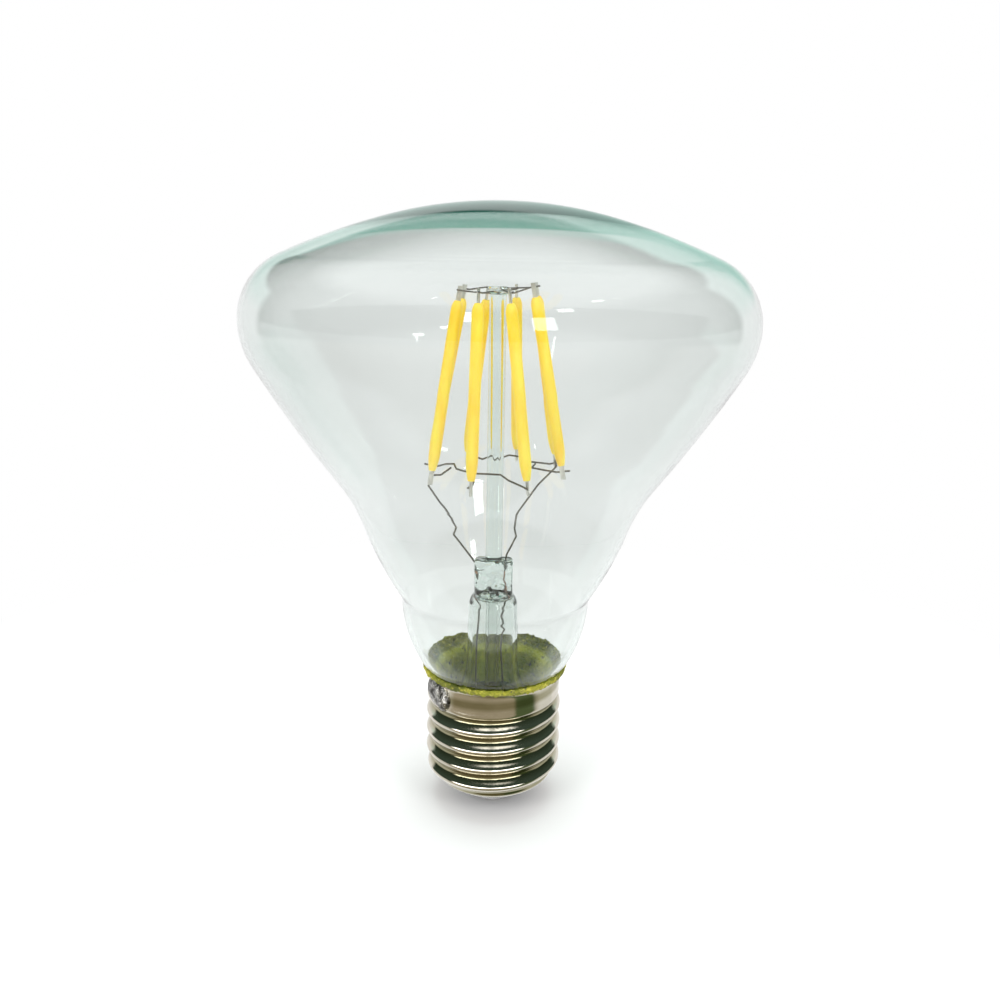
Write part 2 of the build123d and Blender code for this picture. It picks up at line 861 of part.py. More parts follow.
os.makedirs("parts", exist_ok=True)
save(screw_shell, "screw_shell")
save(cap_insulator, "cap_insulator")
save(centre_contact, "centre_contact")
save(contact_solder() - live, "contact_solder")
save(envelope, "envelope")
save(cement, "basing_cement")
save(solder, "side_solder")
save(rim_wire, "shell_wire")
save(live, "live_wire")
save(board, "driver_board")
save(resistor, "fuse_resistor")
save(capacitor, "bulk_capacitor")
save(chip_body(bridge_size, 2, bridge_place), "bridge_rectifier")
save(chip_body(chip_size, 4, chip_place), "driver_chip")
save(stem_place * flare, "stem_flare")
save(stem_place * exhaust_tube(), "exhaust_tube")
save(stem_place * rod, "stem_rod")
for number, link in enumerate(links, 1):
    save(stem_place * link, "top_link_" + str(number))
for side, lead, seal, outer in zip(("left", "right"), leads, dumets, outers):
    save(stem_place * lead, "inner_lead_" + side)
    save(stem_place * seal, "dumet_" + side)
    save(stem_place * outer, "outer_lead_" + side)
save(stem_place * front_wire(), "front_foot_wire")
save(stem_place * front_stub(), "front_foot_stub")
save(stem_place * back_wire(), "back_foot_wire")
save(stem_place * side_wire(), "side_foot_wire")
for index, plane in enumerate(planes):
    number = str(index + 1)
    save(stem_place * plane.location * filament_strip(), "filament_strip_" + number)
    save(stem_place * plane.location * filament_coat(), "filament_coat_" + number)
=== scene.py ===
import math

import bpy
from bpy.props import FloatProperty, FloatVectorProperty, PointerProperty
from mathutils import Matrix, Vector


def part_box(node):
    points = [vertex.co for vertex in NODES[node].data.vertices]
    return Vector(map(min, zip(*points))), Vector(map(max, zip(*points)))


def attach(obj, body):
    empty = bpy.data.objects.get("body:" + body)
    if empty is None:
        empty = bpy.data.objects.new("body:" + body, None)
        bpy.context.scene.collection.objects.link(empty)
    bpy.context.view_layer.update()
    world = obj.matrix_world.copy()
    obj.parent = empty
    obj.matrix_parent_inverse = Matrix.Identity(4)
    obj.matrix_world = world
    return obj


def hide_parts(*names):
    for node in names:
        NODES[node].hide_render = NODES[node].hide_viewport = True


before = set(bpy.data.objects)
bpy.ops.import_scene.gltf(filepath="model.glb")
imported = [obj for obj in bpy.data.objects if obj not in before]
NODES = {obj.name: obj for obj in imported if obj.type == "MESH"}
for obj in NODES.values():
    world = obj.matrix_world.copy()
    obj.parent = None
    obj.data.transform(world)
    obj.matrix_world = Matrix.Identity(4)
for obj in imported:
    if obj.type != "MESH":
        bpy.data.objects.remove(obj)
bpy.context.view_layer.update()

bl_info = {
    "name": "Filament bulb finish",
    "version": (1, 0, 0),
    "blender": (4, 5, 0),
    "location": "3D View > Sidebar > Bulb",
    "description": "Dresses the reflector filament bulb and sets up its stage",
    "category": "Object",
}

MILLIMETRE = 0.001
WELD = 0.000001
FILAMENTS = range(1, 9)

# Screw thread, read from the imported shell: pitch of seven turns to the inch
THREAD_PITCH = 0.0254 / 7
THREAD_PHASE_HEIGHT = 14.9 * MILLIMETRE

# Outside of the blown glass, as arcs that run into each other
GLASS_LOW, GLASS_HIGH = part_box("envelope")
WIDEST_RADIUS = GLASS_HIGH.x
WIDEST_HEIGHT = 94.8 * MILLIMETRE
CROWN_RADIUS = 78.0 * MILLIMETRE
CROWN_REACH = 21.0 * MILLIMETRE
FLANK_RADIUS = 125.0 * MILLIMETRE
LOWER_RIM_RADIUS = 15.7 * MILLIMETRE
LOWER_RIM_ANGLE = 30.0
BEND = (26.9 * MILLIMETRE, 60.4 * MILLIMETRE)
BEND_REACH = 6.0 * MILLIMETRE
CONE_BOW = 0.54 * MILLIMETRE
CREASE = (18.1 * MILLIMETRE, 41.3 * MILLIMETRE)
CREASE_REACH = 0.9 * MILLIMETRE
BULGE_BOW = 0.79 * MILLIMETRE
NECK_ARC_RADIUS = 24.0 * MILLIMETRE
NECK_TUBE_RADIUS = 11.3 * MILLIMETRE
ENVELOPE_STEPS = 192
CROWN_EXTRA_WALL = 0.25 * MILLIMETRE
CROWN_EXTRA_REACH = 32.0 * MILLIMETRE

# Section of the cement squeezed out over the shell's rim, and the size of its crumbs
CEMENT_BEAD = [
    (radius * MILLIMETRE, height * MILLIMETRE) for radius, height in (
        (13.15, 26.15), (13.35, 26.2), (13.75, 26.55), (14.0, 27.1), (14.05, 27.45),
        (13.85, 27.6), (13.55, 27.55), (13.4, 27.3), (13.1, 26.7), (13.15, 26.15),
    )
]
BEAD_STEPS = 240
CRUMB_SIZE = 0.9 * MILLIMETRE
CRUMB_HEIGHT = 0.9 * MILLIMETRE
CRUMB_CUTS = 2
CRUMB_SMOOTHNESS = 0.4
CRUMB_DETAIL = 2

# Cement's colours, and the distances from the axis at which its rim darkens with painted shade and its
# crumbs brighten
# Inner colours brightened with painted light where the glass neck shades them
CEMENT_PAINTED_LIGHT_SHADES = [(0.34, (0.26, 0.31, 0.02)), (0.5, (0.60, 0.60, 0.04)), (0.66, (0.92, 0.86, 0.08))]
# Rim colours darkened with painted shade, where the rim is lit
CEMENT_RIM_PAINTED_SHADES = [(0.34, (0.09, 0.11, 0.012)), (0.5, (0.25, 0.26, 0.02)), (0.66, (0.45, 0.42, 0.04))]
CEMENT_PAINTED_SHADE_REACH = (12.0 * MILLIMETRE, 12.5 * MILLIMETRE)
CEMENT_GAP_COLOUR = (0.12, 0.12, 0.05)
CEMENT_FLECK_COLOUR = (0.86, 0.78, 0.14)
CRUMB_COLOUR = (0.62, 0.56, 0.07)
CRUMB_REACH = (14.0 * MILLIMETRE, 14.35 * MILLIMETRE)

# Camera that took the photograph
EYE_DISTANCE = 0.181
EYE_HEIGHT = 0.110
EYE_PITCH_DOWN = 8.2
EYE_ROLL = 0.97
FOCAL_PIXELS = 971.0
PICTURE_PIXELS = 1000.0
AXIS_PIXEL = (499.0, 374.8)
SENSOR_WIDTH = 36.0

# Glass: the tint of its shadows, its painted reflection streaks, its ripples, and the lumps in the stem's
# press
GLASS_IOR = 1.5
SHADOW_TINT = (0.95, 0.965, 0.96)
BLOWN_PAINTED_STREAKS = ((0.88, 0.885, 0.88), (0.95, 0.955, 0.95))
DRAWN_PAINTED_STREAKS = ((0.93, 0.95, 0.935), (1, 1, 1))
PAINTED_STREAK_SCALE = (9, 9, 34)
WAVE_STRETCH = (1, 1, 3)
WAVE_SCALE = 38
RELIEF_DEPTH = 0.6 * MILLIMETRE
DRAWN_RIPPLE = 0.25
PINCHED_RIPPLE = 0.6
PRESS_HEIGHT = 7.2 * MILLIMETRE
PRESS_BLEND = 0.5 * MILLIMETRE
LUMP_SCALE = 400
LUMP_STRENGTH = 5.5

# Metals of the strips and wires: dark and light colour, roughness, and fineness of the streaks
STRIP_METAL = ((0.62, 0.58, 0.50), (0.90, 0.88, 0.82), 0.45, 900)
SUPPORT_METAL = ((0.10, 0.09, 0.075), (0.28, 0.26, 0.22), 0.4, 1200)
LEAD_METAL = ((0.08, 0.075, 0.06), (0.24, 0.22, 0.18), 0.45, 1200)
SEAL_METAL = ((0.55, 0.24, 0.14), (0.86, 0.48, 0.34), 0.3, 900)
# Contact's metal, near black: painted shade under the cap
CONTACT_METAL_PAINTED_SHADE = ((0.07, 0.065, 0.06), (0.26, 0.24, 0.21), 0.35, 500)


# Node helpers
def blank_material(name, inputs=None):
    """A new material with its tree and its Principled shader, whose chosen inputs are set."""
    material = bpy.data.materials.new(name)
    material.use_nodes = True
    tree = material.node_tree
    shader = tree.nodes["Principled BSDF"]
    for key, value in (inputs or {}).items():
        shader.inputs[key].default_value = value
    return material, tree, shader


def node(tree, kind, inputs=None, **settings):
    """Adds a node, sets its fields, and sets or links its inputs by name or place."""
    made = tree.nodes.new(kind)
    for field, value in settings.items():
        setattr(made, field, value)
    for key, value in (inputs or {}).items():
        if isinstance(value, bpy.types.NodeSocket):
            tree.links.new(value, made.inputs[key])
        else:
            made.inputs[key].default_value = value
    return made


def object_place(tree):
    """Place on the object, in metres."""
    return node(tree, "ShaderNodeTexCoord").outputs["Object"]


def object_axes(tree):
    """Place on the object, split into X, Y and Z."""
    return node(tree, "ShaderNodeSeparateXYZ", {0: object_place(tree)}).outputs


def place(tree, scale=(1, 1, 1)):
    """Place on the object, scaled along each axis."""
    mapping = node(tree, "ShaderNodeMapping", {"Vector": object_place(tree), "Scale": scale})
    return mapping.outputs["Vector"]


def length(tree, vector):
    """How long a vector is."""
    return node(tree, "ShaderNodeVectorMath", {0: vector}, operation="LENGTH").outputs["Value"]


def noise(tree, where, scale, detail=3.0, roughness=0.5):
    """Soft noise between 0 and 1."""
    made = node(tree, "ShaderNodeTexNoise", {
        "Vector": where, "Scale": scale, "Detail": detail, "Roughness": roughness,
    })
    return made.outputs["Fac"]


def ramp(tree, value, stops):
    """Colours along a value: a list of (position, colour)."""
    made = node(tree, "ShaderNodeValToRGB", {"Fac": value})
    elements = made.color_ramp.elements
    while len(elements) < len(stops):
        elements.new(0.5)
    for element, (position, colour) in zip(elements, stops):
        element.position = position
        element.color = (*colour, 1)
    return made.outputs["Color"]


def spread(tree, value, low, high, to_low=0.0, to_high=1.0):
    """One range of a value turned into another, and held at its ends."""
    made = node(tree, "ShaderNodeMapRange", {
        "Value": value, "From Min": low, "From Max": high, "To Min": to_low, "To Max": to_high,
    })
    return made.outputs["Result"]


def calc(tree, operation, first, second=None, third=None):
    """One step of arithmetic on up to three values."""
    inputs = {0: first}
    if second is not None:
        inputs[1] = second
    if third is not None:
        inputs[2] = third
    return node(tree, "ShaderNodeMath", inputs, operation=operation).outputs["Value"]


def mix_colour(tree, share, first, second):
    """The first colour, which turns into the second as the share goes from 0 to 1."""
    made = node(tree, "ShaderNodeMix", data_type="RGBA")
    for key, value in ((0, share), (6, first), (7, second)):
        if isinstance(value, bpy.types.NodeSocket):
            tree.links.new(value, made.inputs[key])
        elif key == 0:
            made.inputs[key].default_value = value
        else:
            made.inputs[key].default_value = (*value, 1)
    return made.outputs[2]


def bump(tree, shader, height, strength, distance):
    """Relief too fine to model."""
    made = node(tree, "ShaderNodeBump", {"Height": height, "Strength": strength, "Distance": distance})
    tree.links.new(made.outputs["Normal"], shader.inputs["Normal"])


def set_colour(tree, shader, colour):
    """Links a colour to the shader."""
    tree.links.new(colour, shader.inputs["Base Color"])


def set_roughness(tree, shader, roughness):
    """Links a changing roughness to the shader."""
    tree.links.new(roughness, shader.inputs["Roughness"])


def finish_cad(names, material):
    """Gives CAD nodes their material."""
    for name in names:
        slots = NODES[name].data.materials
        slots.clear()
        slots.append(material)


# Mesh helpers
def arc_points(centre, radius, start, end, count):
    """Points of an arc about a centre, from one angle to another above the radial direction."""
    spots = []
    for index in range(count + 1):
        turn = math.radians(start + (end - start) * index / count)
        spots.append((centre[0] + radius * math.cos(turn), centre[1] + radius * math.sin(turn)))
    return spots


def bowed_points(start, end, bow, count):
    """Points of a shallow arc between two points, bowed out from the axis."""
    across, up = end[0] - start[0], end[1] - start[1]
    length = math.hypot(across, up)
    spots = []
    for index in range(count + 1):
        share = index / count
        out = 4 * bow * share * (1 - share) / length
        spots.append((start[0] + across * share + up * out, start[1] + up * share - across * out))
    return spots


def eased(points, corner, reach, count):
    """The outline with the corner nearest to a point rounded over a reach to each side."""
    kept = [spot for spot in points if math.dist(spot, corner) > reach]
    before = [spot for spot in kept if spot[1] < corner[1]]
    after = [spot for spot in kept if spot[1] > corner[1]]
    first, last = before[-1], after[0]
    bend = []
    for index in range(1, count):
        share = index / count
        bend.append(tuple(
            first[axis] * (1 - share) ** 2 + corner[axis] * 2 * share * (1 - share) + last[axis] * share**2
            for axis in (0, 1)
        ))
    return before + bend + after


def glass_outline():
    """Outside of the glass as (radius, height) from the neck's end up to the crown."""
    neck_centre = (CREASE[0] - NECK_ARC_RADIUS, CREASE[1])
    neck_turn = math.degrees(math.acos((NECK_TUBE_RADIUS - neck_centre[0]) / NECK_ARC_RADIUS))
    crown_centre = (0.0, GLASS_HIGH.z - CROWN_RADIUS)
    lean = math.asin(CROWN_REACH / CROWN_RADIUS)
    inward = FLANK_RADIUS - CROWN_RADIUS
    flank_centre = (crown_centre[0] - inward * math.sin(lean), crown_centre[1] - inward * math.cos(lean))
    reach, rise = WIDEST_RADIUS - flank_centre[0], WIDEST_HEIGHT - flank_centre[1]
    shoulder = (FLANK_RADIUS**2 - reach**2 - rise**2) / (2 * (FLANK_RADIUS - reach))
    shoulder_centre = (WIDEST_RADIUS - shoulder, WIDEST_HEIGHT)
    to_shoulder = (shoulder_centre[0] - flank_centre[0], shoulder_centre[1] - flank_centre[1])
    flank_end = math.degrees(math.atan2(to_shoulder[1], to_shoulder[0]))
    crown_start = 90 - math.degrees(lean)
    lower_centre = (WIDEST_RADIUS - LOWER_RIM_RADIUS, WIDEST_HEIGHT)
    lower_rim = arc_points(lower_centre, LOWER_RIM_RADIUS, -LOWER_RIM_ANGLE, 0, count=12)
    neck = arc_points(neck_centre, NECK_ARC_RADIUS, -neck_turn, 0, count=16)
    points = [(NECK_TUBE_RADIUS, GLASS_LOW.z)] + neck
    points += bowed_points(CREASE, BEND, BULGE_BOW, count=22)[1:]
    points += bowed_points(BEND, lower_rim[0], CONE_BOW, count=36)[1:]
    points += lower_rim[1:]
    points += arc_points(shoulder_centre, shoulder, 0, flank_end, count=18)[1:]
    points += arc_points(flank_centre, FLANK_RADIUS, flank_end, crown_start, count=16)[1:]
    points += arc_points(crown_centre, CROWN_RADIUS, crown_start, 90, count=20)[1:]
    points = eased(points, BEND, BEND_REACH, count=8)
    return eased(points, CREASE, CREASE_REACH, count=5)


def glass_section(wall):
    """Half section of the glass: its outside from the crown down to the neck, then back up its inside."""
    outer = glass_outline()
    inner = [(NECK_TUBE_RADIUS - wall, GLASS_LOW.z)]
    for before, spot, after in zip(outer, outer[1:], outer[2:]):
        across, up = after[0] - before[0], after[1] - before[1]
        extra = 0.0
        if spot[1] > WIDEST_HEIGHT:
            extra = CROWN_EXTRA_WALL * max(0.0, 1 - (spot[0] / CROWN_EXTRA_REACH) ** 2) ** 2
        depth = (wall + extra) / math.hypot(across, up)
        inner.append((spot[0] - up * depth, spot[1] + across * depth))
    inner.append((0.0, GLASS_HIGH.z - wall - CROWN_EXTRA_WALL))
    return outer[::-1] + inner


def spun(name, outline, steps):
    """A skin turned round the axis from the points of its outline."""
    bpy.ops.object.select_all(action="DESELECT")
    bpy.ops.mesh.primitive_plane_add(size=MILLIMETRE, location=(outline[0][0], 0, outline[0][1]))
    piece = bpy.context.object
    piece.name = piece.data.name = name
    bpy.ops.object.transform_apply(location=True, rotation=True, scale=True)
    bpy.ops.object.mode_set(mode="EDIT")
    bpy.ops.mesh.select_all(action="SELECT")
    bpy.ops.mesh.merge(type="CENTER")
    for start, end in zip(outline, outline[1:]):
        step = (end[0] - start[0], 0, end[1] - start[1])
        bpy.ops.mesh.extrude_vertices_move(TRANSFORM_OT_translate={"value": step})
    bpy.ops.mesh.select_all(action="SELECT")
    bpy.ops.mesh.spin(steps=steps, angle=math.tau, center=(0, 0, 0), axis=(0, 0, 1))
    bpy.ops.mesh.select_all(action="SELECT")
    bpy.ops.mesh.remove_doubles(threshold=WELD)
    bpy.ops.mesh.normals_make_consistent(inside=False)
    bpy.ops.object.mode_set(mode="OBJECT")
    bpy.ops.object.shade_smooth()
    return piece


def crumble(piece):
    """Divides the skin and pushes it in and out in crumbs."""
    bpy.ops.object.mode_set(mode="EDIT")
    bpy.ops.mesh.select_all(action="SELECT")
    bpy.ops.mesh.subdivide(number_cuts=CRUMB_CUTS, smoothness=CRUMB_SMOOTHNESS)
    bpy.ops.object.mode_set(mode="OBJECT")
    crumbs = bpy.data.textures.new("crumbs", "CLOUDS")
    crumbs.noise_scale = CRUMB_SIZE
    crumbs.noise_depth = CRUMB_DETAIL
    modifier = piece.modifiers.new("Crumbs", "DISPLACE")
    modifier.texture = crumbs
    modifier.texture_coords = "LOCAL"
    modifier.strength = CRUMB_HEIGHT
    modifier.mid_level = 0.5
    bpy.ops.object.modifier_apply(modifier=modifier.name)


def stand_for(piece, nodes, material):
    """Puts the piece on the bulb, in place of CAD nodes where it has any to replace."""
    piece.data.materials.clear()
    piece.data.materials.append(material)
    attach(piece, "root")
    if nodes:
        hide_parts(*nodes)


# Materials
def glass_material(name, clear_low, clear_high, tint, density, ripple, lumpy_above=None):
    """Soda glass: painted reflection streaks, darker and clearer, in its colour, soft ripples, green in its
    depth, lumps where pinched.
    """
    material, tree, shader = blank_material(name, {
        "Roughness": 0.0, "IOR": GLASS_IOR, "Transmission Weight": 1.0,
    })
    # Darker and clearer streaks in the glass's colour: painted reflection streaks
    tone_noise = noise(tree, place(tree, scale=PAINTED_STREAK_SCALE), scale=1.0, detail=2.0)
    set_colour(tree, shader, ramp(tree, tone_noise, [(0.35, clear_low), (0.65, clear_high)]))
    relief = noise(tree, place(tree, scale=WAVE_STRETCH), scale=WAVE_SCALE, detail=1.0)
    if lumpy_above is not None:
        pinched = spread(tree, object_axes(tree)["Z"], lumpy_above - PRESS_BLEND, lumpy_above)
        lumps = noise(tree, place(tree), scale=LUMP_SCALE, detail=1.0)
        lumps = calc(tree, "MULTIPLY", lumps, pinched)
        relief = calc(tree, "MULTIPLY_ADD", lumps, LUMP_STRENGTH, relief)
    bump(tree, shader, relief, strength=ripple, distance=RELIEF_DEPTH)
    clear = node(tree, "ShaderNodeBsdfTransparent", {"Color": (*SHADOW_TINT, 1)})
    path = node(tree, "ShaderNodeLightPath")
    mixed = node(tree, "ShaderNodeMixShader", {
        0: path.outputs["Is Shadow Ray"], 1: shader.outputs["BSDF"], 2: clear.outputs["BSDF"],
    })
    inside = node(tree, "ShaderNodeVolumeAbsorption", {"Color": (*tint, 1), "Density": density})
    output = tree.nodes["Material Output"]
    tree.links.new(mixed.outputs["Shader"], output.inputs["Surface"])
    tree.links.new(inside.outputs["Volume"], output.inputs["Volume"])
    return material


def thread_mask(tree):
    """0 in the thread's roots and 1 on its crests, from the place on the shell."""
    axes = object_axes(tree)
    turn = calc(tree, "ARCTAN2", axes["X"], calc(tree, "MULTIPLY", axes["Y"], -1.0))
    height = calc(tree, "SUBTRACT", axes["Z"], THREAD_PHASE_HEIGHT)
    climb = calc(tree, "MULTIPLY", height, math.tau / THREAD_PITCH)
    wave = calc(tree, "COSINE", calc(tree, "SUBTRACT", climb, turn))
    return calc(tree, "MULTIPLY_ADD", wave, 0.5, 0.5)


def nickel_material():
    """Plated steel, warm, with painted shade darkening the thread's roots, and fine scuffs."""
    material, tree, shader = blank_material("nickel_plate", {"Metallic": 1.0})
    tone_noise = noise(tree, place(tree, scale=(1, 1, 2.5)), scale=160, detail=4.0)
    scuffs = noise(tree, place(tree, scale=(6, 6, 60)), scale=60, detail=4.0, roughness=0.7)
    crest = thread_mask(tree)
    plate = ramp(tree, tone_noise, [(0.3, (0.60, 0.56, 0.47)), (0.7, (0.74, 0.70, 0.61))])
    # Darker olive colour in the thread's roots: painted shade
    root_painted_shade = ramp(tree, tone_noise, [(0.3, (0.30, 0.28, 0.17)), (0.7, (0.42, 0.39, 0.27))])
    set_colour(tree, shader, mix_colour(tree, spread(tree, crest, 0.1, 0.75), root_painted_shade, plate))
    set_roughness(tree, shader, spread(tree, scuffs, 0.3, 0.7, 0.07, 0.15))
    bump(tree, shader, scuffs, strength=0.06, distance=0.04 * MILLIMETRE)
    return material


def plain_metal(name, dark, light, rough, grain):
    """A wire or strip metal with drawn streaks."""
    material, tree, shader = blank_material(name, {"Metallic": 1.0})
    streaks = noise(tree, place(tree, scale=(1, 1, 0.3)), scale=grain, detail=4.0, roughness=0.6)
    set_colour(tree, shader, ramp(tree, streaks, [(0.3, dark), (0.7, light)]))
    set_roughness(tree, shader, spread(tree, streaks, 0.2, 0.8, rough * 0.8, rough * 1.25))
    bump(tree, shader, streaks, strength=0.2, distance=0.03 * MILLIMETRE)
    return material


def solder_material():
    """Tin solder, lumpy, with painted shade in its hollows and painted highlights on its lumps."""
    material, tree, shader = blank_material("tin_solder", {"Metallic": 1.0})
    lumps = noise(tree, place(tree), scale=620, roughness=0.6)
    # Near-black hollows and bright lumps: painted shade and painted highlights
    set_colour(tree, shader, ramp(tree, lumps, [(0.4, (0.05, 0.045, 0.04)), (0.62, (0.50, 0.49, 0.47))]))
    set_roughness(tree, shader, spread(tree, lumps, 0.3, 0.7, 0.4, 0.15))
    bump(tree, shader, lumps, strength=0.8, distance=0.8 * MILLIMETRE)
    return material


def coat_material():
    """Phosphor in silicone: yellow, slightly soft inside, with a satin skin and a faint painted glow."""
    material, tree, shader = blank_material("phosphor_coat", {
        # Emission: a painted orange glow, the coat giving off light of its own
        "Roughness": 0.34, "Emission Color": (1.0, 0.62, 0.04, 1), "Emission Strength": 0.22,
        "Subsurface Weight": 0.35, "Subsurface Radius": (1.0, 0.55, 0.08),
        "Subsurface Scale": 0.6 * MILLIMETRE,
    })
    grain = noise(tree, place(tree, scale=(1, 1, 0.25)), scale=420)
    set_colour(tree, shader, ramp(tree, grain, [(0.35, (1.0, 0.66, 0.045)), (0.65, (1.0, 0.80, 0.09))]))
    bump(tree, shader, grain, strength=0.08, distance=0.1 * MILLIMETRE)
    return material


def cement_material():
    """Basing cement: crumbly, olive, with painted light inside and painted shade at its rim, dark gaps and
    brighter yellow flecks.
    """
    material, tree, shader = blank_material("olive_cement", {"Roughness": 0.75})
    patches = noise(tree, place(tree), scale=120, roughness=0.6)
    flecks = noise(tree, place(tree), scale=1500, detail=4.0, roughness=0.7)
    gaps = noise(tree, place(tree), scale=700, roughness=0.6)
    reach = length(tree, place(tree, scale=(1, 1, 0)))
    # Painted light in the inner colours, and painted shade in the rim's colours
    inner = ramp(tree, patches, CEMENT_PAINTED_LIGHT_SHADES)
    rim = ramp(tree, patches, CEMENT_RIM_PAINTED_SHADES)
    colour = mix_colour(tree, spread(tree, reach, *CEMENT_PAINTED_SHADE_REACH), inner, rim)
    colour = mix_colour(tree, spread(tree, reach, *CRUMB_REACH), colour, CRUMB_COLOUR)
    colour = mix_colour(tree, spread(tree, gaps, 0.42, 0.32), colour, CEMENT_GAP_COLOUR)
    colour = mix_colour(tree, spread(tree, flecks, 0.56, 0.68), colour, CEMENT_FLECK_COLOUR)
    set_colour(tree, shader, colour)
    bump(tree, shader, gaps, strength=0.9, distance=1.2 * MILLIMETRE)
    return material


def black_glass_material():
    """Black glass with a faint swirl in its colour and gloss."""
    material, tree, shader = blank_material("black_glass")
    swirl = noise(tree, place(tree), scale=240)
    set_colour(tree, shader, ramp(tree, swirl, [(0.3, (0.006, 0.006, 0.007)), (0.7, (0.02, 0.02, 0.022))]))
    set_roughness(tree, shader, spread(tree, swirl, 0.3, 0.7, 0.12, 0.28))
    bump(tree, shader, swirl, strength=0.3, distance=0.2 * MILLIMETRE)
    return material


def board_material():
    """Board with solder mask over its copper, laid out as bars."""
    material, tree, shader = blank_material("green_board", {"Roughness": 0.35})
    bars = node(tree, "ShaderNodeTexBrick", {
        "Vector": place(tree), "Scale": 260.0, "Mortar Size": 0.12,
        "Color1": (0.02, 0.16, 0.05, 1), "Color2": (0.03, 0.20, 0.07, 1), "Mortar": (0.012, 0.09, 0.03, 1),
    })
    set_colour(tree, shader, bars.outputs["Color"])
    bump(tree, shader, bars.outputs["Fac"], strength=0.2, distance=0.05 * MILLIMETRE)
    return material


def banded_material(name, low, high, body, band, edges):
    """A part's skin with bands at chosen shares of its height."""
    material, tree, shader = blank_material(name)
    share = spread(tree, object_axes(tree)["Z"], low, high)
    blur = 0.01
    stops = [(0.0, body)]
    for start, end in edges:
        stops += [(start, body), (start + blur, band), (end, band), (end + blur, body)]
    grain = noise(tree, place(tree), scale=800)
    set_colour(tree, shader, mix_colour(tree, 0.12, ramp(tree, share, stops), (0.5, 0.5, 0.5)))
    set_roughness(tree, shader, spread(tree, grain, 0.3, 0.7, 0.3, 0.45))
    bump(tree, shader, grain, strength=0.1, distance=0.05 * MILLIMETRE)
    return material


def resin_material():
    """Moulded chip resin, finely pitted."""
    material, tree, shader = blank_material("chip_resin_finish", {"Roughness": 0.6})
    grain = noise(tree, place(tree), scale=2400)
    set_colour(tree, shader, ramp(tree, grain, [(0.3, (0.012, 0.012, 0.013)), (0.7, (0.03, 0.03, 0.032))]))
    bump(tree, shader, grain, strength=0.3, distance=0.04 * MILLIMETRE)
    return material


# Sizes and colours that a user would change
class BulbGlassSettings(bpy.types.PropertyGroup):
    """Looks of the glass."""
    wall: FloatProperty(
        name="Wall", description="Thickness of the blown glass",
        default=0.9 * MILLIMETRE, min=0.1 * MILLIMETRE, subtype="DISTANCE", unit="LENGTH",
    )
    tint: FloatVectorProperty(
        name="Glass tint", description="Colour that a long way through the glass takes on",
        subtype="COLOR", default=(0.62, 0.80, 0.75), min=0.0, max=1.0,
    )
    density: FloatProperty(
        name="Tint density", description="How fast the glass takes on its tint, per metre",
        default=110.0, min=0.0,
    )
    ripple: FloatProperty(
        name="Ripple", description="Strength of the flow ripples in the blown glass",
        default=0.05, min=0.0, max=1.0, subtype="FACTOR",
    )


class BulbStageSettings(bpy.types.PropertyGroup):
    """Floor and lights."""
    floor_reach: FloatProperty(
        name="Floor reach", description="Half the width of the floor",
        default=3.0, min=0.5, subtype="DISTANCE", unit="LENGTH",
    )
    shadow_reach: FloatProperty(
        name="Shadow reach", description="Distance at which the floor turns plain white",
        default=0.16, min=0.05, subtype="DISTANCE", unit="LENGTH",
    )
    floor_colour: FloatVectorProperty(
        name="Floor colour", description="Colour of the floor",
        subtype="COLOR", default=(0.92, 0.92, 0.92), min=0.0, max=1.0,
    )


class BULB_OT_envelope(bpy.types.Operator):
    """Finish the blown glass"""
    bl_idname = "bulb.envelope"
    bl_label = "Envelope"

    def execute(self, context):
        glass = context.scene.bulb_glass
        envelope = spun("glass_envelope", glass_section(glass.wall), ENVELOPE_STEPS)
        tint = tuple(glass.tint)
        blown = glass_material("blown_glass", *BLOWN_PAINTED_STREAKS, tint, glass.density, glass.ripple)
        stand_for(envelope, ["envelope"], blown)
        return {"FINISHED"}


class BULB_OT_stem(bpy.types.Operator):
    """Finish the stem's glass: flared tube, exhaust tube and rod"""
    bl_idname = "bulb.stem"
    bl_label = "Stem"

    def execute(self, context):
        glass = context.scene.bulb_glass
        looks = (*DRAWN_PAINTED_STREAKS, tuple(glass.tint), glass.density)
        finish_cad(["exhaust_tube", "stem_rod"], glass_material("drawn_glass", *looks, DRAWN_RIPPLE))
        press_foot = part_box("stem_flare")[1].z - PRESS_HEIGHT
        finish_cad(["stem_flare"], glass_material("pinched_glass", *looks, PINCHED_RIPPLE, press_foot))
        return {"FINISHED"}


class BULB_OT_filaments(bpy.types.Operator):
    """Finish the eight filaments' coats and strips"""
    bl_idname = "bulb.filaments"
    bl_label = "Filaments"

    def execute(self, context):
        finish_cad([f"filament_coat_{number}" for number in FILAMENTS], coat_material())
        strip = plain_metal("strip_finish", *STRIP_METAL)
        finish_cad([f"filament_strip_{number}" for number in FILAMENTS], strip)
        return {"FINISHED"}


class BULB_OT_wires(bpy.types.Operator):
    """Finish the wires, leads and seals"""
    bl_idname = "bulb.wires"
    bl_label = "Wires"

    def execute(self, context):
        support = plain_metal("support_finish", *SUPPORT_METAL)
        finish_cad([f"top_link_{number}" for number in range(1, 5)], support)
        finish_cad(["front_foot_wire", "front_foot_stub", "back_foot_wire", "side_foot_wire"], support)
        lead = plain_metal("lead_finish", *LEAD_METAL)
        finish_cad(["inner_lead_left", "inner_lead_right", "outer_lead_left", "outer_lead_right"], lead)
        finish_cad(["live_wire", "shell_wire"], lead)
        copper = plain_metal("seal_finish", *SEAL_METAL)
        finish_cad(["dumet_left", "dumet_right"], copper)
        return {"FINISHED"}


